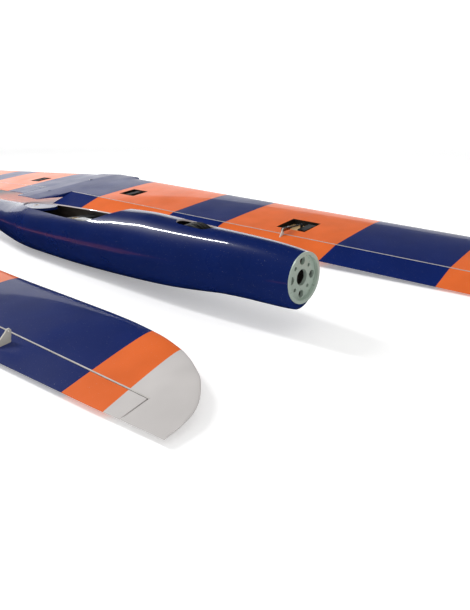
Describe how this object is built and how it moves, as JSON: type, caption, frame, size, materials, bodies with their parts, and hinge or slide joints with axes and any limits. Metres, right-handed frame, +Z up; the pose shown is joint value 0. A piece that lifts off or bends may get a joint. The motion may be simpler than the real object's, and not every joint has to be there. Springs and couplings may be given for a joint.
{
  "type": "rc sailplane kit",
  "caption": "Electric sailplane laid out in pieces: pod-and-boom fuselage with V-tail, wing centre panel bottom up, and plug-in outer panels.",
  "frame": {"origin": "centre of the motor plate's front face, inside the nose ring", "axes": "+X forward along the fuselage, out of the nose; +Z up; +Y towards the wing centre panel. The table is at z = -0.0475 m"},
  "size_m": [1.7802, 0.6124, 0.1839],
  "materials": {
    "gloss_navy": "clear-coated navy glass-cloth skin",
    "gloss_orange": "clear-coated orange skin over glass cloth, with navy bands",
    "turned_aluminium": "turned and bead-blasted",
    "carbon": "carbon-fibre laminate, semi-matt",
    "plywood": "thin birch plywood, sealed",
    "brass": "turned, satin",
    "black_case": "moulded black case",
    "grey_case": "pale grey moulded case",
    "lead_rubber": "silicone-covered copper lead",
    "white_nylon": "moulded off-white nylon",
    "steel_wire": "drawn steel wire"
  },
  "bodies": {
    "fuselage": {"fuselage_pod": "gloss_navy", "tail_boom": "gloss_navy", "nose_ring": "turned_aluminium", "front_former": "carbon", "rear_former": "carbon", "seat_plate_front": "carbon", "seat_plate_rear": "carbon", "wing_bolt_inserts": "brass", "servo_tray": "carbon", "tail_servos": "black_case", "receiver": "grey_case", "speed_controller": "black_case", "motor_leads": "lead_rubber", "tail_joiner_rods": "carbon", "tail_half_left": "gloss_orange", "tail_half_right": "gloss_orange"},
    "wing": {"wing_panel": "gloss_orange", "wing_bolt_bushes": "white_nylon", "joiner_sleeves": "carbon", "bay_frames": "plywood", "flap_servos": "black_case", "aileron_servos": "grey_case"},
    "flap_right_body": {"flap_right": "gloss_orange"},
    "aileron_right_body": {"aileron_right": "gloss_orange", "aileron_horn_right": "white_nylon"},
    "servo_arm_right_body": {"servo_arm_right": "white_nylon"},
    "aileron_rod_right_body": {"aileron_rod_right": "steel_wire"},
    "flap_left_body": {"flap_left": "gloss_orange"},
    "aileron_left_body": {"aileron_left": "gloss_orange", "aileron_horn_left": "white_nylon"},
    "servo_arm_left_body": {"servo_arm_left": "white_nylon"},
    "aileron_rod_left_body": {"aileron_rod_left": "steel_wire"},
    "outer_right_body": {"outer_panel_right": "gloss_navy", "outer_joiner_rods_right": "carbon", "outer_servo_right": "gloss_navy"},
    "outer_aileron_right_body": {"outer_aileron_right": "gloss_navy", "outer_horn_right": "white_nylon"},
    "outer_left_body": {"outer_panel_left": "gloss_navy", "outer_joiner_rods_left": "carbon", "outer_servo_left": "gloss_navy"},
    "outer_aileron_left_body": {"outer_aileron_left": "gloss_navy", "outer_horn_left": "white_nylon"},
    "ruddervator_left_body": {"ruddervator_left": "gloss_navy", "ruddervator_horn_left": "white_nylon"},
    "tail_servo_arm_left_body": {"tail_servo_arm_left": "white_nylon"},
    "tail_rod_left_body": {"tail_rod_left": "steel_wire"},
    "ruddervator_right_body": {"ruddervator_right": "gloss_navy", "ruddervator_horn_right": "white_nylon"},
    "tail_servo_arm_right_body": {"tail_servo_arm_right": "white_nylon"},
    "tail_rod_right_body": {"tail_rod_right": "steel_wire"}
  },
  "joints": [
    {"name": "wing_lift", "type": "slide", "parent": "fuselage", "child": "wing", "axis": [0, 0, 1], "range_m": [0, 0.08]},
    {"name": "flap_right_hinge", "type": "hinge", "parent": "wing", "child": "flap_right_body", "pos_m": [-0.48906, 0.20424, -0.01391], "axis": [-0.9988, -0.0375, 0.0326], "range_deg": [0, 74]},
    {"name": "aileron_right_hinge", "type": "hinge", "parent": "wing", "child": "aileron_right_body", "pos_m": [-0.17917, 0.21586, -0.02402], "axis": [-0.9988, -0.0375, 0.0326], "range_deg": [0, 28]},
    {"name": "servo_arm_right_turn", "type": "hinge", "parent": "wing", "child": "servo_arm_right_body", "pos_m": [-0.17677, 0.25519, -0.0229], "axis": [-0.9988, -0.0375, 0.0326], "range_deg": [0, 28]},
    {"name": "aileron_rod_right_pivot", "type": "hinge", "parent": "servo_arm_right_body", "child": "aileron_rod_right_body", "pos_m": [-0.17653, 0.25453, -0.01644], "axis": [-0.9988, -0.0375, 0.0326], "range_deg": [-28, 0]},
    {"name": "flap_left_hinge", "type": "hinge", "parent": "wing", "child": "flap_left_body", "pos_m": [-0.98874, 0.20424, -0.01391], "axis": [-0.9988, 0.0375, -0.0326], "range_deg": [-13.9, 60.1]},
    {"name": "aileron_left_hinge", "type": "hinge", "parent": "wing", "child": "aileron_left_body", "pos_m": [-1.29863, 0.21586, -0.02402], "axis": [-0.9988, 0.0375, -0.0326], "range_deg": [-10.6, 17.4]},
    {"name": "servo_arm_left_turn", "type": "hinge", "parent": "wing", "child": "servo_arm_left_body", "pos_m": [-1.30103, 0.25519, -0.0229], "axis": [-0.9988, 0.0375, -0.0326], "range_deg": [-10.6, 17.4]},
    {"name": "aileron_rod_left_pivot", "type": "hinge", "parent": "servo_arm_left_body", "child": "aileron_rod_left_body", "pos_m": [-1.30127, 0.25453, -0.01644], "axis": [-0.9988, 0.0375, -0.0326], "range_deg": [-17.4, 10.6]},
    {"name": "outer_right_lift", "type": "slide", "parent": "fuselage", "child": "outer_right_body", "axis": [0, 0, 1], "range_m": [0, 0.08]},
    {"name": "outer_aileron_right_hinge", "type": "hinge", "parent": "outer_right_body", "child": "outer_aileron_right_body", "pos_m": [-0.1439, -0.17036, -0.03933], "axis": [-0.998, -0.0638, 0.001], "range_deg": [0, 22]},
    {"name": "outer_left_lift", "type": "slide", "parent": "fuselage", "child": "outer_left_body", "axis": [0, 0, 1], "range_m": [0, 0.08]},
    {"name": "outer_aileron_left_hinge", "type": "hinge", "parent": "outer_left_body", "child": "outer_aileron_left_body", "pos_m": [-1.2899, -0.17036, -0.03933], "axis": [-0.998, 0.0638, -0.001], "range_deg": [0, 22]},
    {"name": "ruddervator_left_hinge", "type": "hinge", "parent": "fuselage", "child": "ruddervator_left_body", "pos_m": [-1.29692, 0.01965, 0.0073], "axis": [-0.0514, 0.7976, 0.601], "range_deg": [-15, 15]},
    {"name": "tail_servo_arm_left_turn", "type": "hinge", "parent": "fuselage", "child": "tail_servo_arm_left_body", "pos_m": [-0.2369, 0.008, -0.0084], "axis": [0, 0, -1], "range_deg": [-15.05, 15.05]},
    {"name": "tail_rod_left_slide", "type": "slide", "parent": "fuselage", "child": "tail_rod_left_body", "axis": [1, 0, 0], "range_m": [-0.00223, 0.00223]},
    {"name": "ruddervator_right_hinge", "type": "hinge", "parent": "fuselage", "child": "ruddervator_right_body", "pos_m": [-1.29692, -0.01965, 0.0073], "axis": [-0.0514, -0.7976, 0.601], "range_deg": [-15, 15]},
    {"name": "tail_servo_arm_right_turn", "type": "hinge", "parent": "fuselage", "child": "tail_servo_arm_right_body", "pos_m": [-0.2369, -0.008, -0.0084], "axis": [0, 0, 1], "range_deg": [-15.05, 15.05]},
    {"name": "tail_rod_right_slide", "type": "slide", "parent": "fuselage", "child": "tail_rod_right_body", "axis": [1, 0, 0], "range_m": [-0.00223, 0.00223]}
  ],
  "couplings": [
    {"joint": "servo_arm_right_turn", "follows": "aileron_right_hinge", "ratio": 1},
    {"joint": "aileron_rod_right_pivot", "follows": "aileron_right_hinge", "ratio": -1},
    {"joint": "servo_arm_left_turn", "follows": "aileron_left_hinge", "ratio": 1},
    {"joint": "aileron_rod_left_pivot", "follows": "aileron_left_hinge", "ratio": -1},
    {"joint": "tail_servo_arm_left_turn", "follows": "ruddervator_left_hinge", "ratio": 1},
    {"joint": "tail_rod_left_slide", "follows": "ruddervator_left_hinge", "m_per_rad": 0.0085},
    {"joint": "tail_servo_arm_right_turn", "follows": "ruddervator_right_hinge", "ratio": 1},
    {"joint": "tail_rod_right_slide", "follows": "ruddervator_right_hinge", "m_per_rad": 0.0085}
  ]
}
